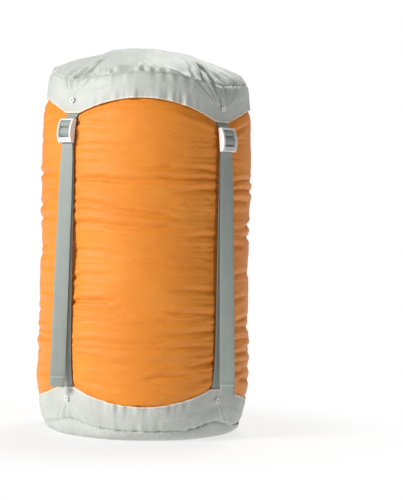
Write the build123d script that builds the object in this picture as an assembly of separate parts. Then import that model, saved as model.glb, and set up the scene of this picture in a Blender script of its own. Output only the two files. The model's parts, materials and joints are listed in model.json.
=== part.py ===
from build123d import *
import os
from math import atan2, cos, degrees, hypot, radians, sin, tan

# Four-strap compression sack, stuffed and standing on its base.
# Millimetres, +Z up, origin at the centre of the base on the ground, front of the sack at -Y.
# A strap runs down the sack at each diagonal, so the front shows two of the four.

# ---- driving dimensions -------------------------------------------------------------------
SEAM_R = 107.5            # radius of the sewn ring that joins a cap's end panel to its skirt
SKIRT_R = 113.2           # largest outside radius of the cap skirts
BODY_R = 115.3            # outside radius of the stuffed tube
FABRIC = 1.2              # wall that stands for every sewn fabric layer
SEWN_GAP = 0.2            # clearance left along a seam

BASE_SEAM_Z = 12.2        # base panel to base skirt
BASE_FLAT_R = 92.0        # the part of the base that rests on the ground
BASE_TIP_Z = 54.2         # tips of the base skirt, at the straps
BASE_DIP_Z = 37.0         # low points of the base skirt's edge, between the straps

LID_SEAM_Z = 384.4        # lid panel to lid skirt
LID_TIP_Z = 341.5         # tips of the lid skirt, at the straps
LID_RISE_Z = 360.5        # high points of the lid skirt's edge, between the straps
CROWN_RISE = 33.0         # height of the domed lid panel
CROWN_POWER = 2.2         # roundness of the dome's plan
CROWN_BLEND = 0.7         # sharpness of the dome's shoulder
LID_TILT = 2.2            # degrees; the cinched lid sits lower on its +X side
LID_TILT_Z = 350.0        # height of the tilt's axis

TIP_HALF = 10.0           # half width of a skirt tip
EDGE_TAPE = 2.6           # height of the binding tape along the skirt edges
EDGE_TAPE_PROUD = 0.35    # how far the tape stands out on each side of the skirt
PIPING_R = 1.1            # minor radius of the rolled seam

WEBBING_W = 16.0          # strap width
WEBBING_T = 1.3           # strap thickness
BUCKLE_R = 119.6          # radius of a buckle's centre from the sack's axis
BUCKLE_Z = 322.0          # height of a buckle's centre with the lid level
BUCKLE_LEAN = 7.0         # degrees that a buckle's top leans in
TAIL_LENGTH = 257.0       # free webbing below the buckle
TAIL_LEAN = 1.8           # degrees that a hanging tail leans out

STRAPS = {"rear_right": 45.0, "rear_left": 135.0, "front_left": 225.0, "front_right": 315.0}

MOUTH_Z = 398.2           # height of the drawcord
CORD_R = 1.3              # drawcord radius
CORD_RING_R = 13.0        # radius of the closed mouth at the drawcord
LOCK_Y = -34.0            # centre of the cord lock
CORD_END_Y = -80.0        # free end of the drawcord


# ---- shared shapes ------------------------------------------------------------------------
def offset_points(points, distance):
    """Points moved to the left of the direction of travel by a distance."""
    moved = []
    for i, (x, y) in enumerate(points):
        before = points[max(i - 1, 0)]
        after = points[min(i + 1, len(points) - 1)]
        dx, dy = after[0] - before[0], after[1] - before[1]
        length = hypot(dx, dy)
        moved.append((x - distance * dy / length, y + distance * dx / length))
    return moved


def band_face(points, thickness_left, thickness_right, to_space):
    """Smooth band around an open line of points, placed in space by to_space."""
    left = [to_space(p) for p in offset_points(points, thickness_left)]
    right = [to_space(p) for p in offset_points(points, -thickness_right)]
    curve = Polyline if len(points) == 2 else Spline
    edges = [curve(*left), Line(left[-1], right[-1]), curve(*right), Line(right[0], left[0])]
    return make_face(edges)


def in_radial_plane(point):
    """A (radius, height) pair in the XZ plane."""
    return (point[0], 0, point[1])


def in_strap_plane(point):
    """A (radius, height) pair in the YZ plane, where +Y points away from the sack."""
    return (0, point[0], point[1])


def fabric_of_revolution(outside, thickness=FABRIC):
    """Thin wall revolved about Z. The outside line runs so that the wall lies to its left."""
    return revolve(band_face(outside, thickness, 0, in_radial_plane), Axis.Z, 360)


def webbing(path, thickness=WEBBING_T, width=WEBBING_W):
    """Flat webbing that follows a (radius, height) path in the strap plane."""
    face = band_face(path, thickness / 2, thickness / 2, in_strap_plane)
    return extrude(face, width / 2, dir=(1, 0, 0), both=True)


def at_azimuth(azimuth, shape):
    """Turn a shape from the strap plane (+Y outward) to a strap's place around the sack."""
    return Rot(0, 0, azimuth - 90) * shape


def lid_pose(shape):
    """Tilt a level lid piece to the way the cinched lid sits."""
    return Pos(0, 0, LID_TILT_Z) * Rot(0, LID_TILT, 0) * Pos(0, 0, -LID_TILT_Z) * shape


def strap_drop(azimuth):
    """How far the lid's tilt moves a strap's buckle up or down."""
    return -SKIRT_R * cos(radians(azimuth)) * tan(radians(LID_TILT))


def edge_region(tip_z, mid_z, shift, below):
    """Everything beyond a scalloped edge: one arc between each two tips, and past the tips."""
    half_span = SKIRT_R * sin(radians(45) - TIP_HALF / SKIRT_R)
    outward = -1 if below else 1
    far_z = tip_z + outward * 60
    tip_z, mid_z = tip_z + shift, mid_z + shift
    arc = ThreePointArc((-half_span, 0, tip_z), (0, 0, mid_z), (half_span, 0, tip_z))
    sides = Polyline((half_span, 0, tip_z), (half_span, 0, far_z), (-half_span, 0, far_z),
                     (-half_span, 0, tip_z))
    scallop = extrude(make_face([arc, sides]), 100, dir=(0, -1, 0))
    slab = Pos(0, 0, (tip_z + far_z) / 2) * Cylinder(SKIRT_R + 20, abs(tip_z - far_z))
    region = slab
    for quarter in range(4):
        region += Rot(0, 0, 90 * quarter) * Pos(0, -40, 0) * scallop
    return region


def skirt_and_tape(profile, tip_z, mid_z, below):
    """A scalloped cap skirt, and the binding tape folded over its edge."""
    wall = fabric_of_revolution(profile)
    thick = revolve(band_face(profile, FABRIC + EDGE_TAPE_PROUD, EDGE_TAPE_PROUD,
                              in_radial_plane), Axis.Z, 360)
    inward = 1 if below else -1
    beyond_edge = edge_region(tip_z, mid_z, 0, below)
    beyond_tape = edge_region(tip_z, mid_z, inward * EDGE_TAPE, below)
    beyond_gap = edge_region(tip_z, mid_z, inward * (EDGE_TAPE + SEWN_GAP), below)
    skirt = wall - beyond_gap
    tape = (thick & beyond_tape) - beyond_edge
    return skirt, tape


def piping(z):
    return Pos(0, 0, z) * Torus(SEAM_R - 0.2, PIPING_R)


def rivet_ring(radius, z, slope):
    """Four eyelets around the sack, one on each skirt tip, facing out."""
    eyelet_r, hole_r, height = 3.0, 1.3, 1.0
    blank = Cylinder(eyelet_r, height) - Cylinder(hole_r, height)
    blank = fillet(blank.edges().filter_by(GeomType.CIRCLE).group_by(Axis.Z)[-1], 0.35)
    facing = Pos(0, radius + height / 2 + SEWN_GAP, z) * Rot(-90 + slope, 0, 0) * blank
    return Compound([at_azimuth(a, facing) for a in STRAPS.values()])


# ---- base cap -----------------------------------------------------------------------------
BASE_SKIRT = [(107.7, 13.7), (110.4, 22), (112.4, 36), (SKIRT_R, 50), (SKIRT_R, 60)]


def base_disc():
    rim = [(0, 0), (BASE_FLAT_R, 0), (99.5, 1.9), (104.6, 5.8), (107.2, 10.9)]
    inside = [(0, FABRIC), (BASE_FLAT_R - 0.4, FABRIC), (98.7, 3.0), (103.6, 6.6), (106.0, 11.0)]
    edges = [Line(in_radial_plane(rim[0]), in_radial_plane(rim[1])),
             Spline(*[in_radial_plane(p) for p in rim[1:]], tangents=[(1, 0, 0), (0.25, 0, 1)]),
             Line(in_radial_plane(rim[-1]), in_radial_plane(inside[-1])),
             Spline(*[in_radial_plane(p) for p in inside[1:]], tangents=[(1, 0, 0), (0.25, 0, 1)]),
             Line(in_radial_plane(inside[1]), in_radial_plane(inside[0])),
             Line(in_radial_plane(inside[0]), in_radial_plane(rim[0]))]
    return revolve(make_face(edges), Axis.Z, 360)


def base_cap():
    skirt, tape = skirt_and_tape(BASE_SKIRT, BASE_TIP_Z, BASE_DIP_Z, below=False)
    return {"base_disc": base_disc(), "base_piping": piping(BASE_SEAM_Z), "base_skirt": skirt,
            "base_binding": tape, "base_rivets": rivet_ring(113.1, 42.0, 3)}


# ---- stuffed tube and mouth ---------------------------------------------------------------
BODY_PROFILE = [(105.4, 11.6), (109.3, 24), (111.0, 40), (111.6, 56), (114.0, 74),
                (BODY_R, 100), (BODY_R, 190), (BODY_R, 280), (113.8, 306), (111.3, 328),
                (110.0, 350), (107.0, 366), (101.0, 377), (85, 384.5), (50, 389.4), (14, 391.2)]


def sack_body():
    return fabric_of_revolution(BODY_PROFILE)


def mouth_collar():
    """Gathered top of the tube above the drawcord, with a small hole left at its middle."""
    neck = CORD_RING_R - CORD_R - 0.4
    profile = [(10.8, 391.6), (neck, MOUTH_Z - 1.5), (neck, MOUTH_Z + 1.5), (14.0, 403.5),
               (18.0, 409.0)]
    return revolve(band_face(profile, 3.0, 0, in_radial_plane), Axis.Z, 360)


def drawcord():
    cord = Pos(0, 0, MOUTH_Z) * Torus(CORD_RING_R, CORD_R)
    run = -CORD_END_Y - CORD_RING_R
    for side in (-1, 1):
        leg = Rot(90, 0, 0) * Cylinder(CORD_R, run, align=(Align.CENTER, Align.CENTER, Align.MIN))
        cord += Pos(0, -CORD_RING_R, MOUTH_Z + side * (CORD_R + 0.1)) * leg
    return cord


def cord_end_sleeve():
    """Sleeve that holds the two cord ends together, one above the other in one slot."""
    sleeve = Rot(90, 0, 0) * Cylinder(3.9, 7.0)
    sleeve = fillet(sleeve.edges().filter_by(GeomType.CIRCLE), 0.8)
    slot = Box(2 * CORD_R + 0.2, 20, 4 * CORD_R + 0.4)
    return Pos(0, CORD_END_Y + 2.5, MOUTH_Z) * (sleeve - slot)


# ---- cord lock: barrel across the cords, plunger pressed in along +X ----------------------
BARREL_R = 6.0
BARREL_ENDS = (-6.0, 9.0)
BORE_R = 4.3
PLUNGER_R = 4.2
PLUNGER_END = 2.5
PLUNGER_TRAVEL = 3.5
SLOT_HALF = 1.5           # half width of the cord slot along the barrel
SLOT_HEIGHT = 5.8         # height of the cord slot, for two cords one above the other


def along_x(radius, start, end):
    """Cylinder along X between two stations."""
    bar = Rot(0, 90, 0) * Cylinder(radius, end - start, align=(Align.CENTER, Align.CENTER, Align.MIN))
    return Pos(start, 0, 0) * bar


def place_lock(shape):
    return Pos(0, LOCK_Y, MOUTH_Z) * shape


def lock_barrel():
    start, end = BARREL_ENDS
    barrel = along_x(BARREL_R, start, end)
    barrel = fillet(barrel.edges().filter_by(GeomType.CIRCLE), 1.0)
    barrel -= along_x(BORE_R, start, end - 1.5)
    barrel -= Box(2 * SLOT_HALF, 20, SLOT_HEIGHT)
    grip_at = [3.4, 5.2, 7.0]
    for x in grip_at:
        barrel -= Pos(x, 0, 0) * Rot(0, 90, 0) * Torus(BARREL_R + 0.15, 0.45)
    return place_lock(barrel)


def lock_plunger():
    head_start = BARREL_ENDS[0] - PLUNGER_TRAVEL
    head = along_x(5.5, head_start - 2.0, head_start)
    head = fillet(head.edges().filter_by(GeomType.CIRCLE).group_by(Axis.X)[0], 0.8)
    plunger = head + along_x(PLUNGER_R, head_start, PLUNGER_END)
    slot_start, slot_end = -SLOT_HALF - PLUNGER_TRAVEL, SLOT_HALF
    slot = Pos((slot_start + slot_end) / 2, 0, 0) * Box(slot_end - slot_start, 20, SLOT_HEIGHT)
    return place_lock(plunger - slot)


def lock_spring():
    wire_r, coil_r, turns = 0.3, 3.3, 4
    start, end = PLUNGER_END + 0.45, BARREL_ENDS[1] - 1.5 - 0.45
    coil = Helix(pitch=(end - start) / turns, height=end - start, radius=coil_r)
    section = Plane(origin=coil @ 0, z_dir=coil % 0) * Circle(wire_r)
    return place_lock(Pos(start, 0, 0) * Rot(0, 90, 0) * sweep(section, path=coil))


# ---- lid cap ------------------------------------------------------------------------------
LID_SKIRT = [(SKIRT_R, 335), (SKIRT_R, 350), (112.4, 362), (110.9, 372), (107.9, 382.9)]
CROWN_BASE_Z = LID_SEAM_Z + PIPING_R + 0.2
CROWN_ARC_R = 62.0        # radius inside which the crown is a plain arc


def crown_height(radius):
    return CROWN_BASE_Z + CROWN_RISE * (1 - (radius / SEAM_R) ** CROWN_POWER) ** CROWN_BLEND


def lid_crown():
    """Domed panel: a curved shoulder that runs into a shallow arc at its middle."""
    radii = [SEAM_R, 107.2, 106.0, 103.0, 98.0, 90.0, 78.0, CROWN_ARC_R]
    shoulder = [(r, crown_height(r)) for r in radii]
    inner_shoulder = offset_points(shoulder, FABRIC)
    apex = crown_height(0.0)
    faces = []
    for line, top in ((shoulder, apex), (inner_shoulder, apex - FABRIC)):
        edge_r, edge_z = line[-1]
        sphere_r = (edge_r ** 2 + (top - edge_z) ** 2) / (2 * (top - edge_z))
        half = edge_r / 2
        mid_z = top - sphere_r + (sphere_r ** 2 - half ** 2) ** 0.5
        dome = ThreePointArc((edge_r, 0, edge_z), (half, 0, mid_z), (0, 0, top))
        rise = Spline(*[in_radial_plane(p) for p in line])
        floor_z = CROWN_BASE_Z - FABRIC
        closing = Polyline((0, 0, top), (0, 0, floor_z), (line[0][0], 0, floor_z),
                           in_radial_plane(line[0]))
        faces.append(revolve(make_face([rise, dome, closing]), Axis.Z, 360))
    panel = faces[0] - faces[1]
    return panel - Pos(0, 0, CROWN_BASE_Z - 10) * Cylinder(SEAM_R + 10, 20)


def lid_cap():
    skirt, tape = skirt_and_tape(LID_SKIRT, LID_TIP_Z, LID_RISE_Z, below=True)
    level = {"lid_crown": lid_crown(), "lid_piping": piping(LID_SEAM_Z), "lid_skirt": skirt,
             "lid_binding": tape, "lid_rivets": rivet_ring(113.2, 355.0, -3)}
    return {name: lid_pose(shape) for name, shape in level.items()}


# ---- buckle, in its own frame: X along the bars, +Y away from the sack, +Z up -------------
HALF_HEIGHT = 12.75
RAIL_INNER_X = 8.3
RAIL_OUTER_X = 10.5
BAR_R = 1.5
LOOP_BAR = (0.7, 6.7)     # (outward, up) centre of the bar that the lid tab loops round
STRAP_BAR = (0.7, -0.8)   # centre of the toothed bar that grips the strap
LOAD_EXIT = (-3.6, -13.2)
TAIL_EXIT = (-2.0, -13.2)
WRAP_PATH = [LOAD_EXIT, (-3.6, -9.5), (-3.45, -5.0), (-2.65, -1.4), (-1.0, 0.95), (0.7, 1.62),
             (2.4, 0.95), (3.12, -0.8), (2.6, -2.7), (0.9, -4.6), (-1.1, -6.3), (-2.0, -8.8),
             TAIL_EXIT]


def buckle_to_strap_plane(point):
    """A buckle (outward, up) point as (radius, height) in the strap plane, lid level."""
    out, up = point
    lean = radians(BUCKLE_LEAN)
    return (BUCKLE_R + out * cos(lean) - up * sin(lean),
            BUCKLE_Z + out * sin(lean) + up * cos(lean))


def place_buckle(azimuth, shape):
    pose = Pos(0, BUCKLE_R, BUCKLE_Z + strap_drop(azimuth)) * Rot(BUCKLE_LEAN, 0, 0)
    return at_azimuth(azimuth, pose * shape)


def cross_bar(points, half_length):
    """Bar along X with a closed (outward, up) outline."""
    outline = Polyline(*[in_strap_plane(p) for p in points], close=True)
    return extrude(make_face(outline), half_length, dir=(1, 0, 0), both=True)


def round_bar(centre, radius, half_length):
    return Pos(0, *centre) * along_x(radius, -half_length, half_length)


def buckle_rail():
    outer = ThreePointArc((0, 1.9, HALF_HEIGHT), (0, 5.2, 0), (0, 1.9, -HALF_HEIGHT))
    inner = ThreePointArc((0, -2.4, HALF_HEIGHT), (0, -1.8, 0), (0, -2.4, -HALF_HEIGHT))
    ends = [Line(outer @ 0, inner @ 0), Line(outer @ 1, inner @ 1)]
    rail = extrude(make_face([outer, inner] + ends), RAIL_OUTER_X - RAIL_INNER_X, dir=(1, 0, 0))
    rail = fillet(rail.edges().filter_by(Axis.X), 1.3)
    rail = fillet(rail.faces().sort_by(Axis.X)[-1].edges(), 0.5)
    return Pos(RAIL_INNER_X, 0, 0) * rail


def buckle():
    reach = RAIL_INNER_X + 0.6
    rail = buckle_rail()
    frame = rail + mirror(rail, Plane.YZ)
    frame += round_bar(LOOP_BAR, BAR_R, reach)
    frame += round_bar(STRAP_BAR, BAR_R, reach)
    frame += cross_bar([(0.95, 10.8), (2.4, 10.8), (2.6, 11.6), (2.0, 12.6), (0.95, 12.6)], reach)
    lip = cross_bar([(-0.6, -12.4), (-0.6, -8.0), (0.6, -7.2), (2.9, -7.6), (2.8, -12.0),
                     (2.2, -12.6)], reach)
    for x in (-2.6, 2.6):
        lip -= Pos(x, 2.6, -9.9) * Box(3.2, 2.0, 1.3)
    frame += lip
    teeth_at = [-6.4, -3.2, 0.0, 3.2, 6.4]
    for x in teeth_at:
        frame += Pos(x, STRAP_BAR[0] + 0.1, STRAP_BAR[1]) * Box(1.6, 2 * BAR_R, 0.8)
    return frame


def strap_wrap():
    """The stretch of webbing threaded round the buckle's toothed bar."""
    return webbing(WRAP_PATH)


# ---- webbing outside the buckles ----------------------------------------------------------
PIVOT_GAP = 1.0           # webbing left out on each side of a hinge
TAIL_HINGE = 13.0         # along the tail, where it swings out
TAIL_STRETCH = 35.0       # along the tail, where it starts to pay out
HEM_LENGTH = 14.0         # doubled end of a tail


def along_tail(distance):
    """(radius, height) of a point on a hanging tail, lid level."""
    radius, height = buckle_to_strap_plane(TAIL_EXIT)
    lean = radians(TAIL_LEAN)
    return (radius + distance * sin(lean), height - distance * cos(lean))


def tail_piece(azimuth, start, end, thickness=WEBBING_T):
    path = [along_tail(start), along_tail(end)]
    return Pos(0, 0, strap_drop(azimuth)) * at_azimuth(azimuth, webbing(path, thickness))


def load_strap(azimuth):
    """Webbing from the base skirt's tip to the buckle, flat against the stuffed tube."""
    radius, height = buckle_to_strap_plane(LOAD_EXIT)
    height += strap_drop(azimuth)
    bottom = BASE_TIP_Z + SEWN_GAP
    path = [(SKIRT_R - 0.3, bottom), (SKIRT_R + 1.2, bottom + 12), (BODY_R + 1.7, bottom + 34),
            (BODY_R + 1.9, 160), (BODY_R + 1.9, 250), (radius, height - SEWN_GAP)]
    return at_azimuth(azimuth, webbing(path))


def lid_tab(azimuth):
    """Webbing loop sewn to the lid's tip and folded round the buckle's loop bar."""
    ply = 2 * WEBBING_T
    eye = buckle_to_strap_plane(LOOP_BAR)
    eye = (eye[0], eye[1] + strap_drop(azimuth))
    top = (SKIRT_R - FABRIC / 2 + 0.4, LID_TIP_Z + strap_drop(azimuth) - 0.9)
    run, rise = top[0] - eye[0], top[1] - eye[1]
    reach = hypot(run, rise)
    loop = along_x(BAR_R + 0.1 + WEBBING_T, -WEBBING_W / 2, WEBBING_W / 2)
    leg = Pos(0, 0, reach / 2) * Box(WEBBING_W, ply, reach)
    tab = loop + leg - along_x(BAR_R + 0.1, -WEBBING_W, WEBBING_W)
    lean = degrees(atan2(-run, rise))
    return at_azimuth(azimuth, Pos(0, *eye) * Rot(lean, 0, 0) * tab)


def strap_pieces(name, azimuth):
    """All pieces of one strap, by node name."""
    hem_start = TAIL_LENGTH - HEM_LENGTH
    return {
        f"lid_tab_{name}": lid_tab(azimuth),
        f"buckle_{name}": place_buckle(azimuth, buckle()),
        f"strap_wrap_{name}": place_buckle(azimuth, strap_wrap()),
        f"load_strap_{name}": load_strap(azimuth),
        f"tail_top_{name}": tail_piece(azimuth, PIVOT_GAP, TAIL_HINGE - PIVOT_GAP),
        f"tail_swing_{name}": tail_piece(azimuth, TAIL_HINGE + PIVOT_GAP, TAIL_STRETCH),
        f"tail_{name}": tail_piece(azimuth, TAIL_STRETCH + SEWN_GAP, hem_start),
        f"tail_hem_{name}": tail_piece(azimuth, hem_start + SEWN_GAP, TAIL_LENGTH, 2 * WEBBING_T),
    }


# ---- all nodes ----------------------------------------------------------------------------
def all_nodes():
    nodes = base_cap()
    nodes["sack_body"] = sack_body()
    nodes["mouth_collar"] = mouth_collar()
    nodes["drawcord"] = drawcord()
    nodes["cord_end_sleeve"] = cord_end_sleeve()
    nodes["cord_lock_barrel"] = lock_barrel()
    nodes["cord_lock_plunger"] = lock_plunger()
    nodes["cord_lock_spring"] = lock_spring()
    nodes.update(lid_cap())
    for name, azimuth in STRAPS.items():
        nodes.update(strap_pieces(name, azimuth))
    return nodes


os.makedirs("parts", exist_ok=True)
for node, shape in all_nodes().items():
    export_step(shape, f"parts/{node}.step")
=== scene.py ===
"""Looks of a four-strap compression sack, built round its CAD frame. Metres, +Z up, front at -Y."""
import json
from math import asin, atan2, cos, pi, radians, sin, tau

import bpy
import numpy as np
from mathutils import Euler, Matrix, Vector


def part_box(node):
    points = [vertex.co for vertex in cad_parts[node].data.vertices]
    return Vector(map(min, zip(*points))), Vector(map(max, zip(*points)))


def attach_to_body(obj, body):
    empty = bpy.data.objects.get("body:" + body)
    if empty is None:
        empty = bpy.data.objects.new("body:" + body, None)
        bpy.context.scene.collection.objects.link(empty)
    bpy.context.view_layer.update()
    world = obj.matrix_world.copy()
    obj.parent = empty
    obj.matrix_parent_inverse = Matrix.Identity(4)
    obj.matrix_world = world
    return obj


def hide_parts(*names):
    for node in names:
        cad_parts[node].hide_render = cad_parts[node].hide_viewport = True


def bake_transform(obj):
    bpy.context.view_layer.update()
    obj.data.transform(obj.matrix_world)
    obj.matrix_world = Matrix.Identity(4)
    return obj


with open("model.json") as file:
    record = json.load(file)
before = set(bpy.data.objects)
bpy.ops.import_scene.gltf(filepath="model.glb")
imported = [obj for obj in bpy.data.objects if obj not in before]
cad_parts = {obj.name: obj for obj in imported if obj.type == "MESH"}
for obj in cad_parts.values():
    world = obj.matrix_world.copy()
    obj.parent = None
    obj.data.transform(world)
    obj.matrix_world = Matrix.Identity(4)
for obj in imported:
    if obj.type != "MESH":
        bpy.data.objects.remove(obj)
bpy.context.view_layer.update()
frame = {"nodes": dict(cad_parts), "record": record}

MM = 0.001
scene = bpy.context.scene


# ---- sizes, from the frame ----------------------------------------------------------------
def top_of(node):
    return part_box(node)[1].z


def bottom_of(node):
    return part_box(node)[0].z


def middle_z(node):
    low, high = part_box(node)
    return (low.z + high.z) / 2


JOINTS = {joint["name"]: joint for joint in frame["record"]["behaviour"]["joints"]}
SKIRT_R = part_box("base_skirt")[1].x          # largest radius of the cap skirts
BODY_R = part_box("sack_body")[1].x            # radius of the stuffed tube
BASE_SEAM_Z = middle_z("base_piping")
BASE_TIP_Z = top_of("base_binding")
BASE_DIP_Z = BASE_TIP_Z - 17.2 * MM          # lowest point of the base's edge, between two tips
TUBE_FOOT_Z = bottom_of("sack_body")
TUBE_TOP_Z = top_of("sack_body")
MOUTH_Z = middle_z("drawcord")

piping_low, piping_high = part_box("lid_piping")
PIPING_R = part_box("base_piping")[1].z - BASE_SEAM_Z
SEAM_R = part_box("base_piping")[1].x - PIPING_R
LID_TILT = asin((piping_high.z - piping_low.z - 2 * PIPING_R) / (2 * SEAM_R))
LID_SEAM_Z = middle_z("lid_piping")
LID_TIP_Z = LID_SEAM_Z - 42.9 * MM
LID_RISE_Z = LID_TIP_Z + 19.0 * MM           # highest point of the lid's edge, between two tips
LID_TILT_Z = 350 * MM                        # height that the lid is tilted about
CROWN_TOP_Z = LID_SEAM_Z + 34.3 * MM
TIP_HALF = 10 * MM                           # half width of a skirt tip
COLUMNS = 640                                # points round every cap and round the tube
THETA = np.arange(COLUMNS) * tau / COLUMNS


# ---- numbers and noise --------------------------------------------------------------------
def mm(*values):
    """One length, or an array of several, given in mm."""
    return values[0] * MM if len(values) == 1 else np.array(values, float) * MM


def ease(value, low, high):
    """0 below low, 1 above high, smooth between them."""
    share = np.clip((value - low) / (high - low), 0, 1)
    return share * share * (3 - 2 * share)


def bump(value, width):
    return np.exp(-(value / width) ** 2)


def lattice(corner, seed):
    """Fixed pseudo-random value, 0 to 1, at each whole-number point."""
    mixed = np.sin(corner @ np.array([127.1, 311.7, 74.7]) + seed * 53.31) * 43758.5453
    return mixed - np.floor(mixed)


def noise(points, seed=0):
    """Smooth value noise, -1 to 1, at an (..., 3) array of points."""
    cell = np.floor(points)
    part = points - cell
    part = part ** 3 * (part * (part * 6 - 15) + 10)
    total = 0
    for corner in np.ndindex(2, 2, 2):
        weight = np.prod(np.where(corner, part, 1 - part), axis=-1)
        total = total + weight * lattice(cell + corner, seed)
    return total * 2 - 1


def around(radius, height, wave_round, wave_up, seed, theta=THETA):
    """Noise on a cylinder, with its own wavelength, in mm, round the axis and up it."""
    ring = radius / mm(wave_round)
    theta, height = np.broadcast_arrays(theta, height)
    return noise(np.stack([np.cos(theta) * ring, np.sin(theta) * ring, height / mm(wave_up)], -1), seed)


QUARTER = np.floor(THETA / (pi / 2)).astype(int)          # each quarter has a strap in its middle
FROM_STRAP = (THETA % (pi / 2) - pi / 4) * SKIRT_R        # distance round the sack to that strap
ACROSS = np.where(QUARTER % 2 == 0, FROM_STRAP, -FROM_STRAP)          # positive towards front and back
ASIDE = np.abs(ACROSS)
WAVE = np.cos(4 * (THETA - pi / 4))                       # 1 at the straps, -1 halfway


def scallop(tip_z, mid_z):
    """Height of a cap's edge: an arc between each two straps, level across each tip."""
    half_span = SKIRT_R * sin(pi / 4 - TIP_HALF / SKIRT_R)
    sag = abs(mid_z - tip_z)
    arc_r = (half_span ** 2 + sag ** 2) / (2 * sag)
    turn = (THETA + pi / 4) % (pi / 2) - pi / 4
    along = np.minimum(np.abs(SKIRT_R * np.sin(turn)), half_span)
    drop = arc_r - np.sqrt(arc_r ** 2 - along ** 2)
    return mid_z - np.sign(mid_z - tip_z) * drop


LID_EDGE = scallop(LID_TIP_Z, LID_RISE_Z)
BASE_EDGE = scallop(BASE_TIP_Z, BASE_DIP_Z)


def tilt_lid(points):
    """Level lid points turned to the way the cinched lid sits."""
    x, z = points[..., 0], points[..., 2] - LID_TILT_Z
    turned = points.copy()
    turned[..., 0] = x * cos(LID_TILT) + z * sin(LID_TILT)
    turned[..., 2] = -x * sin(LID_TILT) + z * cos(LID_TILT) + LID_TILT_Z
    return turned


# ---- meshes -------------------------------------------------------------------------------
def mesh_object(name, points, faces, uvs, material, sharp=180.0):
    """Object from vertex positions, faces and one UV pair per face corner."""
    mesh = bpy.data.meshes.new(name)
    mesh.from_pydata([tuple(p) for p in points], [], faces)
    layer = mesh.uv_layers.new(name="UVMap")
    layer.data.foreach_set("uv", np.asarray(uvs, np.float32).ravel())
    mesh.materials.append(material)
    mesh.shade_smooth()
    mesh.set_sharp_from_angle(angle=radians(sharp))
    mesh.update()
    piece = bpy.data.objects.new(name, mesh)
    scene.collection.objects.link(piece)
    return piece


def ring_mesh(rows, uv_sets, apex=None, flip=False, closed=False, capped=False):
    """Points, faces and UVs of a surface of closed rings, (row, column, 3).

    uv_sets is [(first row, (row, column + 1, 2))]. An apex closes the last ring with a fan, and lies
    where the UVs start; closed joins the last ring to the first; capped closes both ends of a tube."""
    row_count, columns = rows.shape[:2]
    bands = row_count if closed else row_count - 1
    low = np.arange(bands)[:, None] * columns
    high = (low + columns) % (row_count * columns)
    here = np.arange(columns)
    after = (here + 1) % columns
    faces = np.stack([low + here, low + after, high + after, high + here], -1)
    uvs = []
    for row in range(bands):
        uv = [grid for first, grid in uv_sets if row >= first][-1]
        uvs.append(np.stack([uv[row, :-1], uv[row, 1:], uv[row + 1, 1:], uv[row + 1, :-1]], 1))
    order = slice(None, None, -1) if flip else slice(None)
    faces = faces[..., order].reshape(-1, 4).tolist()
    uvs = np.stack(uvs)[:, :, order].reshape(-1, 2)
    points = rows.reshape(-1, 3)
    last = (row_count - 1) * columns
    uv = uv_sets[-1][1]
    if apex is not None:
        points = np.vstack([points, apex])
        middle = here * 0 + len(points) - 1
        faces += np.stack([last + here, last + after, middle], -1)[:, order].tolist()
        rim = uv[-1]
        fan = np.stack([rim[:-1], rim[1:], rim[1:] * 0], 1)[:, order]
        uvs = np.vstack([uvs, fan.reshape(-1, 2)])
    if capped:
        faces += [here[::-1].tolist(), (last + here).tolist()]
        uvs = np.vstack([uvs, uv[0, :-1][::-1], uv[row_count - 1, :-1]])
    return points, faces, uvs


def ring_grid(name, rows, uv_sets, material, sharp=180.0, **ends):
    return mesh_object(name, *ring_mesh(rows, uv_sets, **ends), material, sharp)


def tube_uv(round_it, along):
    """UVs of a tube, from the distance round it at each column and along it at each ring."""
    return [(0, np.stack(np.meshgrid(round_it, along), -1))]


def attach(piece, slot, body, *nodes):
    """Puts a piece under its body, and takes the CAD nodes' place. slot is not used."""
    if nodes:
        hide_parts(*nodes)
    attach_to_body(piece, body)


def coordinates(mesh):
    flat = np.empty(len(mesh.vertices) * 3)
    mesh.vertices.foreach_get("co", flat)
    return flat.reshape(-1, 3)


def thicken(piece):
    """Gives a fabric its thickness, inwards."""
    solid = piece.modifiers.new("Thickness", "SOLIDIFY")
    solid.thickness = FABRIC_T
    solid.offset = -1.0


def cubic(field, where, wrap):
    """Smooth values of a field at fractional positions along its first axis."""
    base = np.floor(where).astype(int)
    part = (where - base)[:, None, None]
    size = len(field)
    before, here, there, after = [field[(base + k) % size if wrap else np.clip(base + k, 0, size - 1)]
                                  for k in (-1, 0, 1, 2)]
    bend = 2 * before - 5 * here + 4 * there - after
    return here + 0.5 * part * (there - before + part * (bend + part * (3 * (here - there) + after - before)))


COARSE = 4          # the cloth simulation runs on every fourth row and column
CLOTH = {"quality": 5, "mass": 0.2, "tension_stiffness": 15, "compression_stiffness": 15,
         "shear_stiffness": 5, "bending_stiffness": 0.4, "use_pressure": True}


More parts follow.
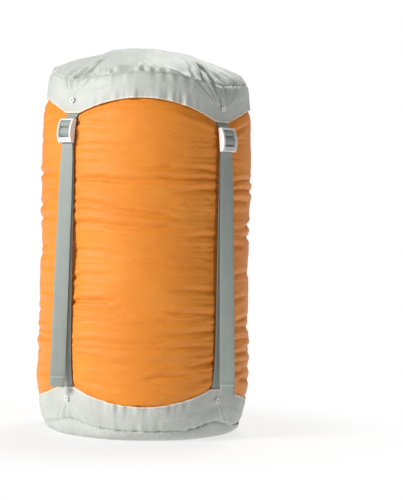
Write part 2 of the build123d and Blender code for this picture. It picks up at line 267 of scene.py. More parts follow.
def settle(rows, fabric, pinned, pressure, frames, cap):
    """How far a ring grid moves when its fabric, unstretched in the shape of fabric, finds its folds.

    No point moves further than cap. The coarse simulation is smoothed over all rows and columns."""
    start = rows[::COARSE, ::COARSE]
    pins = pinned[::COARSE, ::COARSE].ravel()
    none = np.zeros((start.shape[0], start.shape[1] + 1, 2))
    piece = ring_grid("cloth_trial", start, [(0, none)], TAPE)
    piece.shape_key_add(name="Start")
    key = piece.shape_key_add(name="Fabric")
    key.data.foreach_set("co", fabric[::COARSE, ::COARSE].ravel())
    key.value = 0
    group = piece.vertex_groups.new(name="Pinned")
    for level in np.unique(np.round(pins, 1)):
        if level > 0:
            group.add(np.flatnonzero(np.round(pins, 1) == level).tolist(), float(level), "REPLACE")
    cloth = piece.modifiers.new("Cloth", "CLOTH")
    settings = cloth.settings
    for key_name, value in CLOTH.items():
        setattr(settings, key_name, value)
    settings.uniform_pressure_force = pressure
    settings.vertex_group_mass = "Pinned"
    settings.rest_shape_key = key
    settings.effector_weights.gravity = 0
    cloth.collision_settings.use_collision = False
    cloth.point_cache.frame_end = frames
    for number in range(1, frames + 1):
        scene.frame_set(number)
    evaluated = piece.evaluated_get(bpy.context.evaluated_depsgraph_get())
    shift = coordinates(evaluated.data).reshape(start.shape) - start
    scene.frame_set(1)
    bpy.data.objects.remove(piece)
    length = np.maximum(np.linalg.norm(shift, axis=2, keepdims=True), 1e-9)
    shift *= np.minimum(length, cap) / length
    full = cubic(shift, np.arange(rows.shape[0]) / COARSE, False)
    return cubic(full.swapaxes(0, 1), np.arange(rows.shape[1]) / COARSE, True).swapaxes(0, 1)


# ---- materials ----------------------------------------------------------------------------
def feed(tree, node, inputs):
    """Sets each input of a node to a value, or links it to a socket."""
    for socket, value in inputs.items():
        if isinstance(value, bpy.types.NodeSocket):
            tree.links.new(value, node.inputs[socket])
        else:
            node.inputs[socket].default_value = value


def new_node(tree, kind, inputs=None, **settings):
    made = tree.nodes.new(kind)
    for key, value in settings.items():
        setattr(made, key, value)
    feed(tree, made, inputs or {})
    return made


def blank_material(name, roughness=0.6):
    material = bpy.data.materials.new(name)
    material.use_nodes = True
    tree = material.node_tree
    shader = tree.nodes["Principled BSDF"]
    shader.inputs["Roughness"].default_value = roughness
    return material, tree, shader


def mix_colours(tree, share, first, second):
    mixed = new_node(tree, "ShaderNodeMix", {0: share, 6: first, 7: second}, data_type="RGBA")
    return mixed.outputs[2]


def calculate(tree, operation, *values):
    return new_node(tree, "ShaderNodeMath", dict(enumerate(values)), operation=operation).outputs[0]


def map_range(tree, value, start, end, first, last, kind="LINEAR"):
    """first where value is start, last where it is end, and between them in between."""
    made = new_node(tree, "ShaderNodeMapRange", {0: value, 1: start, 2: end, 3: first, 4: last},
                    interpolation_type=kind)
    return made.outputs[0]


def noise_node(tree, vector, scale, detail=2.0, stretch=None):
    if stretch:
        vector = new_node(tree, "ShaderNodeMapping", {0: vector, 3: stretch}).outputs[0]
    made = new_node(tree, "ShaderNodeTexNoise", {"Vector": vector, "Scale": scale, "Detail": detail})
    return made.outputs["Fac"]


def thread_lines(tree, coordinate, pitch, width):
    """1 on lines one pitch apart, falling smoothly to 0 a width away."""
    away = calculate(tree, "PINGPONG", coordinate, pitch / 2)
    return map_range(tree, away, 0.0, width, 1.0, 0.0, "SMOOTHSTEP")


def surface_uv(tree):
    uv = new_node(tree, "ShaderNodeUVMap", uv_map="UVMap").outputs[0]
    parts = new_node(tree, "ShaderNodeSeparateXYZ", {0: uv})
    return uv, parts.outputs[0], parts.outputs[1]


def add_bump(tree, shader, height, distance, strength=1.0, under=None):
    made = new_node(tree, "ShaderNodeBump", {"Height": height, "Distance": distance, "Strength": strength})
    if under is not None:
        tree.links.new(under.outputs[0], made.inputs["Normal"])
    tree.links.new(made.outputs[0], shader.inputs["Normal"])
    return made


def rgba(red, green, blue):
    return (red, green, blue, 1.0)


RIPSTOP_PITCH = 2.0 * MM
RIPSTOP_THREAD = 0.42 * MM


def ripstop(name, cell, thread, shade, sheen, wrinkle):
    """Thin coated nylon with a square grid of heavier threads, and fine crumples."""
    material, tree, shader = blank_material(name, 0.5)
    uv, u, v = surface_uv(tree)
    grid = calculate(tree, "MAXIMUM", thread_lines(tree, u, RIPSTOP_PITCH, RIPSTOP_THREAD),
                     thread_lines(tree, v, RIPSTOP_PITCH, RIPSTOP_THREAD))
    clear = map_range(tree, noise_node(tree, uv, 45.0, 2.0), 0.35, 0.65, 0.2, 0.85)
    tone = map_range(tree, noise_node(tree, uv, 14.0, 3.0), 0.3, 0.7, 0.0, 1.0)
    ground = mix_colours(tree, tone, shade, cell)
    weave = noise_node(tree, uv, 2600.0, 0.0)
    feed(tree, shader, {
        "Base Color": mix_colours(tree, calculate(tree, "MULTIPLY", grid, clear), ground, thread),
        "Roughness": map_range(tree, weave, 0.3, 0.7, 0.42, 0.60),
        "Sheen Weight": sheen, "Sheen Roughness": 0.4, "Specular IOR Level": 0.35})
    crumple = noise_node(tree, uv, 150.0, 3.0, wrinkle)
    soft = add_bump(tree, shader, crumple, 1.2 * MM, 0.55)
    threads = add_bump(tree, shader, grid, 0.12 * MM, 0.6, soft)
    add_bump(tree, shader, weave, 0.05 * MM, 0.5, threads)
    return material


def webbing_material(name, light, dark):
    """Flat woven webbing: fine ribs across, and a chevron of warp threads."""
    material, tree, shader = blank_material(name, 0.75)
    uv, u, v = surface_uv(tree)
    slant = calculate(tree, "ADD", calculate(tree, "PINGPONG", u, 2.5 * MM), v)
    ribs = thread_lines(tree, slant, 1.1 * MM, 0.5 * MM)
    warps = thread_lines(tree, u, 0.9 * MM, 0.4 * MM)
    weave = calculate(tree, "MULTIPLY_ADD", ribs, 0.6, calculate(tree, "MULTIPLY", warps, 0.4))
    worn = calculate(tree, "MULTIPLY", noise_node(tree, uv, 60.0, 3.0), 0.35)
    share = calculate(tree, "MULTIPLY_ADD", weave, 0.65, worn)
    feed(tree, shader, {"Base Color": mix_colours(tree, share, dark, light), "Sheen Weight": 0.15})
    add_bump(tree, shader, weave, 0.25 * MM, 0.8)
    return material


def moulded_plastic(name, colour, tint, roughness):
    """Injection-moulded plastic with a faint mould texture and uneven gloss."""
    material, tree, shader = blank_material(name, roughness)
    place = new_node(tree, "ShaderNodeTexCoord").outputs["Object"]
    cloud = noise_node(tree, place, 120.0, 3.0)
    gloss = map_range(tree, cloud, 0.2, 0.8, roughness - 0.08, roughness + 0.12)
    feed(tree, shader, {"Base Color": mix_colours(tree, cloud, colour, tint), "Roughness": gloss,
                        "Specular IOR Level": 0.5})
    add_bump(tree, shader, noise_node(tree, place, 900.0, 2.0), 0.06 * MM, 0.5)
    return material


def tape_material(name, light, dark):
    """Narrow bias tape with a twill of fine threads."""
    material, tree, shader = blank_material(name, 0.8)
    uv, u, v = surface_uv(tree)
    twill = thread_lines(tree, calculate(tree, "ADD", u, v), 0.7 * MM, 0.3 * MM)
    spots = noise_node(tree, uv, 300.0, 2.0)
    share = calculate(tree, "MULTIPLY", twill, spots)
    tree.links.new(mix_colours(tree, share, light, dark), shader.inputs["Base Color"])
    add_bump(tree, shader, twill, 0.15 * MM, 0.7)
    return material


def cord_material(name, light, dark):
    """Round braided cord: two crossing spirals of strands."""
    material, tree, shader = blank_material(name, 0.7)
    u, v = surface_uv(tree)[1:]
    first = thread_lines(tree, calculate(tree, "ADD", u, v), 1.2 * MM, 0.5 * MM)
    second = thread_lines(tree, calculate(tree, "SUBTRACT", u, v), 1.2 * MM, 0.5 * MM)
    braid = calculate(tree, "MAXIMUM", first, second)
    tree.links.new(mix_colours(tree, braid, dark, light), shader.inputs["Base Color"])
    add_bump(tree, shader, braid, 0.3 * MM, 0.9)
    return material


def metal_material(name, colour, roughness):
    material, tree, shader = blank_material(name, roughness)
    place = new_node(tree, "ShaderNodeTexCoord").outputs["Object"]
    scratch = noise_node(tree, place, 700.0, 3.0, (1.0, 1.0, 0.15))
    rough = map_range(tree, scratch, 0.3, 0.7, roughness - 0.1, roughness + 0.15)
    feed(tree, shader, {"Base Color": colour, "Metallic": 1.0, "Roughness": rough})
    add_bump(tree, shader, scratch, 0.03 * MM, 0.5)
    return material


ORANGE = ripstop("orange_ripstop", rgba(0.86, 0.295, 0.032), rgba(0.70, 0.21, 0.02),
                 rgba(0.80, 0.25, 0.020), 0.08, (0.45, 1.0, 1.0))
GREY = ripstop("grey_ripstop", rgba(0.535, 0.56, 0.52), rgba(0.67, 0.69, 0.655),
               rgba(0.48, 0.505, 0.465), 0.08, (1.0, 0.7, 1.0))
WEBBING = webbing_material("grey_webbing", rgba(0.42, 0.46, 0.43), rgba(0.24, 0.275, 0.255))
TAPE = tape_material("edge_tape", rgba(0.86, 0.81, 0.69), rgba(0.56, 0.51, 0.41))
THREAD = tape_material("white_thread", rgba(0.85, 0.86, 0.84), rgba(0.6, 0.61, 0.6))
BUCKLE = moulded_plastic("buckle_plastic", rgba(0.72, 0.735, 0.735), rgba(0.80, 0.81, 0.81), 0.38)
EYELET = moulded_plastic("white_eyelet", rgba(0.86, 0.87, 0.87), rgba(0.76, 0.77, 0.77), 0.3)
LOCK = moulded_plastic("lock_plastic", rgba(0.03, 0.03, 0.033), rgba(0.05, 0.05, 0.055), 0.42)
CORD = cord_material("braided_cord", rgba(0.30, 0.32, 0.31), rgba(0.12, 0.13, 0.125))
STEEL = metal_material("spring_steel", rgba(0.62, 0.62, 0.64), 0.3)


# ---- cap fabric ---------------------------------------------------------------------------
FABRIC_T = 0.7 * MM
SKIRT_ROWS, CROWN_ROWS = 30, 67
CAP_CUT = np.array([1.03, 1.03, 1.0])          # how much larger the fabric is cut than its shape
TUBE_CUT = np.array([1.004, 1.004, 1.05])

# Folds that run from each strap's eyelet to the cap's seam, as (across at the eyelet, across at the
# seam, depth), in mm. Across is positive towards the front or the back of the sack.
DEEP_FAN = [(0, 10.5, 4.2), (1, 4, 2.0), (-3, -8, 3.0), (-6, -15, 2.8), (-9, -23, 2.4), (-14, -32, 2.0),
            (6, 22, 1.4), (12, 36, 1.2)]
SOFT_FAN = [(-6, -19, 3.0), (0, 5, 2.0), (3, 13, 2.6), (-13, -29, 1.8), (8, 24, 1.3), (-1, -7, 1.6)]
SKIRT_FANS = (SOFT_FAN, DEEP_FAN, SOFT_FAN, DEEP_FAN)
BASE_FAN = [(-2, -9, 1.5), (1, 2, 1.0), (3, 12, 1.5), (6, 21, 1.2), (-8, -24, 0.9), (10, 33, 0.7)]
BASE_FANS = (BASE_FAN,) * 4
BASE_SWELL = 2.4 * MM

# Folds of the crown, as (across at the seam, drift per mm inward, depth, length), in mm.
DEEP_CROWN = [(10.7, -0.10, 9.5, 46), (1.0, 0.15, 2.2, 22), (24, -0.30, 2.6, 40), (-14, 0.1, 2.4, 20),
              (-29, 0.2, 2.2, 28), (38, -0.2, 1.8, 26)]
SOFT_CROWN = [(4.5, -0.08, 4.6, 52), (25, -0.35, 2.8, 30), (-9, 0.1, 3.2, 30), (-24, 0.2, 2.0, 24),
              (13, -0.25, 3.0, 42), (40, -0.2, 1.8, 22)]
CROWN_FANS = (SOFT_CROWN, DEEP_CROWN, SOFT_CROWN, DEEP_CROWN)


def crease(away, width, depth):
    """A sharp valley with a soft ridge on each side."""
    reach = np.abs(away) / width
    return depth * (0.42 * bump(reach - 2.5, 1.3) - np.exp(-1.1 * reach))


def folds(fans):
    """Every fold of the four straps' lists, with a mask of the quarter of the sack it belongs to."""
    return [(QUARTER == k, fold) for k, fan in enumerate(fans) for fold in fan]


def ring_uv(radius, heights):
    """UVs in metres for a wall: distance round, and distance up."""
    heights = np.concatenate([heights, heights[:, :1]], axis=1)
    return np.stack(np.broadcast_arrays(np.append(THETA, tau) * radius, heights), -1)


def flat_uv(points):
    """UVs in metres for a round panel whose weave runs straight across."""
    return np.concatenate([points, points[:, :1]], axis=1)[:, :, :2]


def polar(radius, height):
    """(row, column, 3) points from radius and height at each azimuth."""
    radius, height = np.broadcast_arrays(radius, height)
    return np.stack([radius * np.cos(THETA), radius * np.sin(THETA), height], -1)


def cap_skirt(edge_z, seam_z, seam_r, fans, swell):
    """Radius and height of a cap's skirt, from its scalloped edge to its seam.

    swell is how far the stuffing pushes the edge out between the straps."""
    share = np.linspace(0, 1, SKIRT_ROWS)[:, None]
    height = edge_z + (seam_z - edge_z) * share
    from_seam = np.abs(height - seam_z)
    from_edge = np.abs(height - edge_z)
    radius = SKIRT_R - (SKIRT_R - seam_r) * np.exp(-from_seam / mm(10.0))
    middle_part = ease(ASIDE, mm(10), mm(40))
    radius = radius + swell * middle_part * ease(from_seam, 0, mm(24))
    climb = np.clip((from_edge - mm(13)) / (from_edge + from_seam - mm(13)), 0, 1)
    reach = ease(climb, 0.02, 0.35)
    for mask, (foot, head, depth) in folds(fans):
        middle = mm(foot) * climb ** 0.5 + mm(head - foot) * climb
        radius = radius + mask * reach * crease(ACROSS - middle, mm(1.4) + mm(0.8) * climb, mm(depth))
    pucker = around(SKIRT_R, height, 5.0, 40, 3)
    radius = radius + mm(1.5) * pucker * np.exp(-(from_edge / mm(9)) ** 2) * middle_part
    gather = around(SKIRT_R, height, 6.0, 60, 5)
    radius = radius + mm(1.6) * gather * np.exp(-from_seam / mm(7))
    radius = radius + mm(1.5) * around(SKIRT_R, height, 26, 22, 7) * reach
    radius = radius + mm(0.8) * bump(ACROSS, mm(13)) * np.exp(-from_edge / mm(8))
    return radius - mm(2.0) * bump(from_seam, mm(1.2)), height


def crown_profile():
    """The crown's radius share, rise, outward normal and distance from the seam, row by row."""
    share = 1 - 0.985 * np.linspace(0, 1, CROWN_ROWS)[1:, None] ** 1.35
    rise = (CROWN_TOP_Z - LID_SEAM_Z) * (1 - share ** 2) ** 0.8
    line = np.concatenate([np.array([[SEAM_R, 0]]), np.hstack([share * SEAM_R, rise])])
    step = np.linalg.norm(np.diff(line, axis=0), axis=1)
    slope = np.gradient(line, axis=0)[1:]
    normal = np.stack([slope[:, 1], -slope[:, 0]], -1) / np.linalg.norm(slope, axis=1)[:, None]
    return share, rise, normal, np.cumsum(step)[:, None]


def lid_shape():
    """Rows of the level lid, from the skirt's edge over the seam to near the crown's middle."""
    seam_z = LID_SEAM_Z - mm(3.6) * WAVE - mm(2.4) * bump(ACROSS, mm(24))
    seam_z = seam_z + mm(1.2) * around(SEAM_R, 0, 26, 1.0, 11)
    for mask, (seat, drift, depth, length) in folds(CROWN_FANS):
        seam_z = seam_z + mask * 0.16 * crease(ACROSS - mm(seat), mm(3.5), mm(depth))
    seam_r = SEAM_R - mm(2.2) * bump(ACROSS, mm(14)) + mm(0.4)
    radius, height = cap_skirt(LID_EDGE, seam_z, seam_r, SKIRT_FANS, 0.0)
    skirt = polar(radius, height)
    share, rise, normal, inward = crown_profile()
    dent = -mm(3.0) * bump(ACROSS * share, mm(20)) * np.exp(-(inward / mm(34)) ** 2)
    for mask, (seat, drift, depth, length) in folds(CROWN_FANS):
        middle = mm(seat) * share + drift * inward
        fade = np.exp(-(inward / mm(length)) ** 3) * ease(inward, mm(-2.5), mm(4))
        dent = dent + mask * fade * crease(ACROSS * share - middle, mm(1.5) + 0.03 * inward, mm(depth))
    gather = around(SEAM_R, inward, 5.5, 30, 5, THETA + inward * 3.0)
    gathered = 0.4 + 0.6 * bump(ASIDE - SEAM_R * pi / 4, mm(38))
    dent = dent + mm(3.6) * gathered * gather * np.exp(-(inward / mm(13)) ** 2) * ease(inward, 0, mm(3))
    soft = noise(polar(seam_r * share, rise) / mm(34), 13) * mm(2.6)
    soft = soft + around(SEAM_R, inward, 12, 40, 17) * mm(1.1) * share
    dent = dent + soft * ease(share, 0.0, 0.2) * ease(inward, mm(1), mm(12))
    lift = (seam_z - LID_SEAM_Z) * ease(share, 0.45, 1.0)
    crown = polar(seam_r * share + normal[:, :1] * dent, LID_SEAM_Z + rise + lift + normal[:, 1:] * dent)
    return skirt, crown


def cap_pins(rows, skirt_rows):
    """Cloth pins of a cap: its edge, its seam and its tips hold, and its panels are free."""
    pins = np.zeros((rows, COLUMNS))
    pins[:7] = 1.0
    pins[skirt_rows - 3:skirt_rows + 3] = 0.9
    pins[:skirt_rows // 2 + 2, ASIDE < mm(14)] = 1.0
    return pins


def build_cap(name, skirt, panel, free_rows, pressure, pose, nodes, body, flip):
    """One cap's fabric, from its skirt's edge over the seam to the middle of its panel.

    Only the first free_rows of the panel find their own folds."""
    rows = np.concatenate([skirt, panel])
    pins = cap_pins(len(rows), len(skirt))
    pins[len(skirt) + free_rows:] = 1.0
    rows = rows + settle(rows, rows * CAP_CUT, pins, pressure, frames=14, cap=mm(3))
    apex = pose(np.array([0, 0, rows[-1, :, 2].mean()]))
    uv_sets = [(0, ring_uv(SKIRT_R, rows[:, :, 2])), (len(skirt) - 1, flat_uv(rows))]
    piece = ring_grid(name, pose(rows), uv_sets, GREY, apex=apex, flip=flip)
    thicken(piece)
    attach(piece, "grey_ripstop", body, *nodes)


def build_lid():
    build_cap("lid_shell", *lid_shape(), CROWN_ROWS, 3.0, tilt_lid,
              ("lid_crown", "lid_skirt", "lid_piping"), "lid", False)


def base_shape():
    """Rows of the base cap, from the skirt's edge down over the seam to near the middle."""
    seam_z = BASE_SEAM_Z + mm(1.6) * WAVE + mm(5.0) * bump(ACROSS, mm(20))
    seam_z = seam_z + mm(0.8) * around(SEAM_R, 0, 30, 1.0, 21)
    seam_r = SEAM_R - mm(0.8) * bump(ACROSS, mm(14)) + mm(0.9)
    radius, height = cap_skirt(BASE_EDGE, seam_z, seam_r, BASE_FANS, BASE_SWELL)
    skirt = polar(radius, height)
    turn = np.linspace(0, pi / 2, 26)[1:, None]
    foot_r = seam_r - mm(15)
    rim = foot_r + (seam_r - foot_r) * np.cos(turn) ** 0.9
    drop = seam_z * (1 - np.sin(turn))
    lump = noise(polar(rim, drop) / mm(20), 23) * mm(1.0) + around(SEAM_R, drop, 9, 30, 25) * mm(0.5)
    floor_r = foot_r * np.linspace(1, 0.02, 16)[1:, None]
    reach = np.concatenate([rim + lump * np.sin(2 * turn), floor_r])
    height = np.concatenate([drop, floor_r * 0])
    return skirt, polar(reach, np.maximum(height, mm(0.1)))


def build_base():
    build_cap("base_shell", *base_shape(), 12, -3.0, lambda points: points,
              ("base_disc", "base_skirt", "base_piping"), "base", True)


# ---- edge tape ----------------------------------------------------------------------------
TAPE_SIDES = 12


def edge_tape(name, edge_z, seam_z, way, fans, swell, node, body, pose):
    """Binding folded over a cap's edge: a flat rounded band that follows the scallops."""
    radius, height = cap_skirt(edge_z, seam_z, SEAM_R, fans, swell)
    turn = np.linspace(0, tau, TAPE_SIDES, endpoint=False)[:, None]
    out, up = [np.sign(side) * np.abs(side) ** 0.7 for side in (np.cos(turn), np.sin(turn))]
    rows = polar(radius[0] - FABRIC_T / 2 + out * mm(1.05), height[0] + way * mm(0.3) + up * mm(1.0))
    width = np.arange(TAPE_SIDES + 1)[:, None] * mm(0.6) + THETA * 0
    piece = ring_grid(name, pose(rows), [(0, ring_uv(SKIRT_R, width))], TAPE, closed=True)
    attach(piece, "edge_tape", body, node)


def build_tapes():
    edge_tape("lid_edge_tape", LID_EDGE, LID_SEAM_Z, 1, SKIRT_FANS, 0.0, "lid_binding", "lid", tilt_lid)
    edge_tape("base_edge_tape", BASE_EDGE, BASE_SEAM_Z, -1, BASE_FANS, BASE_SWELL, "base_binding", "base",
              lambda points: points)


# ---- stuffed tube -------------------------------------------------------------------------
TUBE_TUCK_R = 111.0 * MM          # radius under the cap skirts
BUCKLE_ROOM_R = 112.2 * MM        # radius behind the buckles' top rims, which turn inwards as they tilt
WALL_ROWS, DOME_ROWS = 261, 74

LID_EDGE_OVER = LID_EDGE - SKIRT_R * np.cos(THETA) * sin(LID_TILT)          # edge of the tilted lid
BETWEEN_STRAPS = 0.5 - 0.5 * WAVE                     # 0 at the straps, 1 halfway
SHOULDER_DROP = mm(9) * (1 - BETWEEN_STRAPS)          # of the tube's shoulder, under the lid's folds
WALL_TOP_Z = 364 * MM                                 # of the tube's wall halfway between two straps


def clear_of_caps(height):
    """How far a point of the tube is below the lid's edge and above the base's edge."""
    return LID_EDGE_OVER - height, height - BASE_EDGE


def tube_wall(height):
    """Start radius of the stuffed tube: it swells between the straps, and is drawn in at its waist."""
    waist = (TUBE_FOOT_Z + TUBE_TOP_Z) / 2
    lobe = BETWEEN_STRAPS ** 0.7
    below_lid, above_base = clear_of_caps(height)
    swell = (mm(0.4) + mm(1.0) * ease(-height, mm(-230), mm(-60))) * lobe * ease(below_lid, 0, mm(75))
    full = BODY_R - mm(0.8) + swell - mm(1.0) * bump(height - waist, mm(48))
    full = full + mm(0.9) * around(BODY_R, height, 85, 60, 31)
    tucked = np.minimum(ease(below_lid, mm(-2), mm(13)), ease(above_base, mm(-2), mm(11)))
    tuck_r = TUBE_TUCK_R + (BASE_SWELL - mm(0.4)) * lobe * ease(-height, mm(-120), mm(-60))
    radius = tuck_r + (full - tuck_r) * tucked ** 0.7
    inside = SKIRT_R - mm(4.0) - (SKIRT_R - SEAM_R) * np.exp((BASE_SEAM_Z - height) / mm(10))
    foot = inside + mm(20) * ease(height, mm(28), mm(60))
    neck_in = (TUBE_TUCK_R - mm(107.5)) * ease(height + SHOULDER_DROP, mm(345), mm(366))
    radius = np.minimum(radius, foot) - neck_in
    pressed = mm(3.2) * (1 - ease(ASIDE, mm(6.3), mm(9))) - mm(1.0) * bump(ASIDE - mm(22), mm(9))
    tabbed = mm(2.2) * bump(ASIDE, mm(11))
    return radius - pressed * tucked - tabbed * (1 - tucked)


def dome_rows():
    """(radius, height) from the tube's shoulder over its gathered top to the ruffle's rim."""
    line = mm(106.8, 366, 104.6, 372.5, 99, 378, 85, 384.0, 68, 387.2, 50, 389.4, 34, 390.8, 22, 391.8,
              14.5, 393.4, 12.0, 396.0, 11.3, 398.2, 11.7, 400.4, 13.6, 403.8, 17.4, 408.2)
    line = line.reshape(-1, 2)
    step = np.r_[0, np.cumsum(np.linalg.norm(np.diff(line, axis=0), axis=1))]
    where = np.linspace(0, step[-1], DOME_ROWS)
    return np.interp(where, step, line[:, 0]), np.interp(where, step, line[:, 1])


def tube_shape():
    wall_z = np.linspace(BASE_SEAM_Z + mm(9), WALL_TOP_Z - SHOULDER_DROP, WALL_ROWS)
    wall = polar(tube_wall(wall_z), wall_z)
    radius, height = dome_rows()
    radius = radius[:, None] + THETA * 0
    height = height[:, None] - SHOULDER_DROP * ease(radius, mm(45), mm(100))
    pleat = np.cos(26 * THETA + 2.2 * around(mm(60), 0, 40, 1.0, 33))
    near = ease(-radius, mm(-70), mm(-16))
    collar = ease(height, mm(393), mm(401))
    height = height + mm(1.5) * pleat * near * (1 - collar)
    radius = radius + mm(1.5) * pleat * collar * ease(height, mm(400), mm(407))
    radius = radius - mm(0.25) * pleat * collar
    return wall, polar(radius, height)


def build_tube():
    wall, dome = tube_shape()
    rows = np.concatenate([wall, dome])
    height = rows[..., 2]
    below_lid, above_base = clear_of_caps(height)
    held = (below_lid < -mm(4)) | (above_base < -mm(4))
    pins = np.where(held, 1.0, np.where(ASIDE < mm(9), 0.6, 0.0))
    rows = finish_tube(rows + settle(rows, rows * TUBE_CUT, pins, 4.0, frames=24, cap=mm(6)))
    steps = np.linalg.norm(np.diff(rows, axis=0), axis=2)
    along = np.concatenate([np.zeros((1, COLUMNS)), np.cumsum(steps, axis=0)])
    along = along.mean(axis=1, keepdims=True) + THETA * 0
    piece = ring_grid("sack_tube", rows, [(0, ring_uv(BODY_R, along))], ORANGE)
    thicken(piece)
    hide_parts("sack_body", "mouth_collar")
    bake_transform(piece)


# Creases of one panel of the tube, as (from, to, height at each end, depth). From and to are shares
# of the way from the panel's middle to its straps, and heights and depths are in mm.
CREASES = [(0.40, 1.0, 345, 334, 2.0), (-1.0, -0.35, 337, 331, 1.2), (-0.9, 0.1, 309, 312, 0.9),
           (0.0, 1.0, 288, 284, 2.0), (-0.95, 1.0, 274, 277, 2.8), (0.35, 1.0, 262, 266, 1.6),
           (-1.0, 0.45, 253, 235, 2.8), (-1.0, -0.1, 243, 239, 1.8), (-1.0, 0.5, 229, 224, 2.4),
           (0.45, 1.0, 214, 217, 1.6), (-1.0, 0.0, 200, 196, 1.2), (-0.2, 0.9, 187, 184, 1.1),
           (-1.0, -0.3, 171, 174, 1.5), (0.3, 1.0, 160, 157, 1.5), (-1.0, -0.35, 145, 148, 2.6),
           (0.25, 1.0, 137, 132, 2.3), (-0.3, 0.9, 125, 129, 1.6), (-1.0, 0.45, 104, 105, 3.0),
           (-0.95, 0.8, 97, 100, 2.6), (0.1, 1.0, 112, 116, 1.6), (-0.5, 0.35, 84, 82, 1.3),
           (0.0, 0.6, 68, 71, 2.2), (-0.9, -0.2, 62, 57, 1.2), (0.55, 1.0, 78, 84, 1.8)]
PANEL_SHIFTS = (-9.0, 13.0, 6.0, 0.0)          # of the creases of each quarter's panel, in mm


def long_creases(height):
    """Depth of the listed creases, each panel with its own shift and every second one mirrored."""
    turn = THETA / (pi / 2)
    panel = np.round(turn).astype(int) % 4
    place = 2 * (turn - np.round(turn))          # -1 and 1 at the panel's straps, 0 halfway
    wavy = height + mm(2.2) * around(BODY_R, 0, 30, 1.0, 42)
    wavy = wavy + mm(0.9) * around(BODY_R, 0, 11, 1.0, 44)
    depth = 0
    for which, shift in enumerate(PANEL_SHIFTS):
        side = place * (1 if which % 2 else -1)
        for first, last, start_z, end_z, deep in CREASES:
            share = (side - first) / (last - first)
            middle = mm(start_z + shift) + mm(end_z - start_z) * share
            ends = ease(share, -0.12, 0.25) * ease(-share, -1.12, -0.75)
            to_strap = 1 + 0.5 * ease(np.abs(side), 0.7, 0.95)
            width = mm(1.5) + mm(0.8) * ends
            strength = np.where(panel == which, ends * to_strap * deep, 0) * MM
            depth = depth + crease(wavy - middle, width, 1.0) * strength
    return depth


def wrinkles(height):
    """How far the tube's creases, crumples and swells move its surface outwards."""
    beside = bump(ASIDE - mm(12), mm(22))
    fine_line = around(BODY_R, height, 50, 5.5, 47)
    fine = np.clip(1 - np.abs(fine_line) * 2.2, 0, 1) ** 1.6
    patch = ease(around(BODY_R, height, 70, 34, 45), -0.3, 0.6)
    swell = around(BODY_R, height, 110, 20, 49)
    return long_creases(height) - mm(0.9) * fine * (0.25 + 0.35 * patch + 0.8 * beside) + mm(1.2) * swell


STRAP_HEIGHTS = mm(40, 56, 66, 88, 130, 300)
STRAP_INSIDES = mm(110.3, 110.6, 112.4, 114.8, 115.1, 115.1)          # keep the tube behind the straps


def finish_tube(points):
    """Wrinkles the tube, and keeps it behind the caps' skirts and behind the straps."""
    radius = np.hypot(points[..., 0], points[..., 1])
    height = points[..., 2]
    on_wall = height < mm(352)
    below_lid, above_base = clear_of_caps(height)
    in_open = np.minimum(ease(below_lid, mm(0), mm(14)), ease(above_base, mm(0), mm(14)))
    wanted = radius + np.where(on_wall, wrinkles(height) * in_open, 0)
    slack = np.minimum(ease(below_lid, mm(-1.5), mm(9)), ease(above_base, mm(-1.5), mm(9)))
    swollen = (BASE_SWELL - mm(0.4)) * ease(ASIDE, mm(10), mm(40))
    ceiling = TUBE_TUCK_R + mm(0.3) + mm(12) * slack + swollen * ease(-height, mm(-120), mm(-60))
    strap_in = np.interp(height, STRAP_HEIGHTS, STRAP_INSIDES)
    clear = ease(ASIDE, WEBBING_W / 2 + mm(0.6), WEBBING_W / 2 + mm(4))
    ceiling = np.minimum(ceiling, strap_in + mm(12) * clear)
    beside_buckle = ease(ASIDE, mm(11.5), mm(15))
    under_buckle = bump(below_lid - mm(7), mm(9)) * (1 - beside_buckle)
    ceiling = np.minimum(ceiling, BUCKLE_ROOM_R + mm(12) * (1 - ease(under_buckle, 0.25, 0.6)))
    wanted = np.where(on_wall, np.minimum(wanted, ceiling), wanted)
    smooth = points.copy()
    smooth[..., :2] *= (wanted / np.maximum(radius, 1e-6))[..., None]
    return smooth


# ---- webbing ------------------------------------------------------------------------------
WEBBING_W = 16 * MM
WEBBING_T = 1.25 * MM
LOOP_BAR = mm(0.7, 6.7)           # in a buckle's own frame, as (outward, up)
LOAD_EXIT = mm(-3.6, -13.2)
TAIL_EXIT = mm(-2.0, -13.2)
WRAP_LINE = mm(-3.6, -13.2, -3.6, -9.5, -3.45, -5.0, -2.9, -0.6, -1.3, 2.2, 0.7, 3.05, 2.5, 1.7,
               3.12, -0.8, 2.6, -2.7, 0.9, -4.6, -1.1, -6.3, -2.0, -8.8, -2.0, -13.2).reshape(-1, 2)


